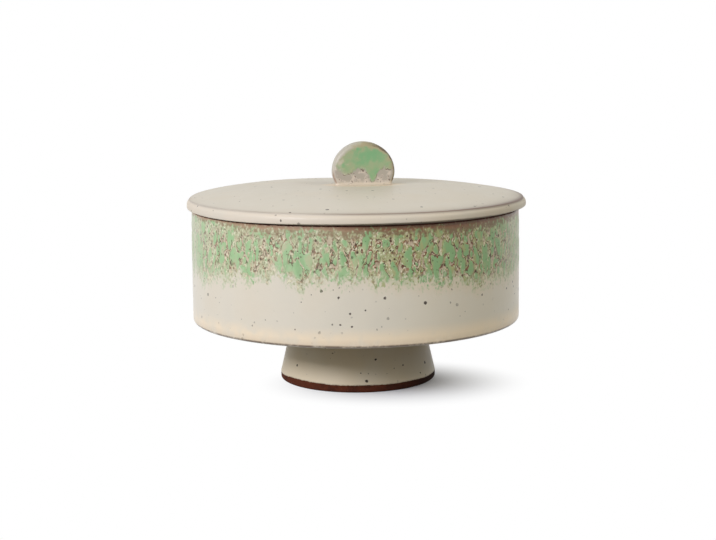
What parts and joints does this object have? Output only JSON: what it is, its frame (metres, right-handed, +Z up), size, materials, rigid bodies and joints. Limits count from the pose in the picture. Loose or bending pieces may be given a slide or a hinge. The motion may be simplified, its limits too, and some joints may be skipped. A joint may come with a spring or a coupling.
{
  "type": "candy dish",
  "caption": "Round lidded dish in glazed stoneware: straight-sided bowl on a hollow flared foot, closed by a lift-off domed lid with a locating ring below and a disc knob on top.",
  "frame": {"origin": "on the table, at the centre of the ring that the foot stands on, under the bowl's axis", "axes": "+Z up along the bowl's axis, -Y towards the front, where the knob shows its broad face"},
  "size_m": [0.145, 0.145, 0.1021],
  "materials": {
    "cream_glaze": "satin cream glaze with dark iron specks, and a mottled green reactive band below the bowl's rim",
    "green_glaze": "satin mottled green reactive glaze that breaks to mauve and brown on the edges",
    "bare_stoneware": "unglazed red-brown stoneware, matt and slightly grainy"
  },
  "bodies": {
    "dish": {"bowl": "cream_glaze", "foot": "cream_glaze"},
    "lid": {"lid_plate": "cream_glaze", "lid_locating_ring": "bare_stoneware", "knob": "green_glaze"}
  },
  "joints": [
    {"name": "lid_lift", "type": "slide", "parent": "dish", "child": "lid", "axis": [0, 0, 1], "range_m": [0, 0.12]}
  ]
}
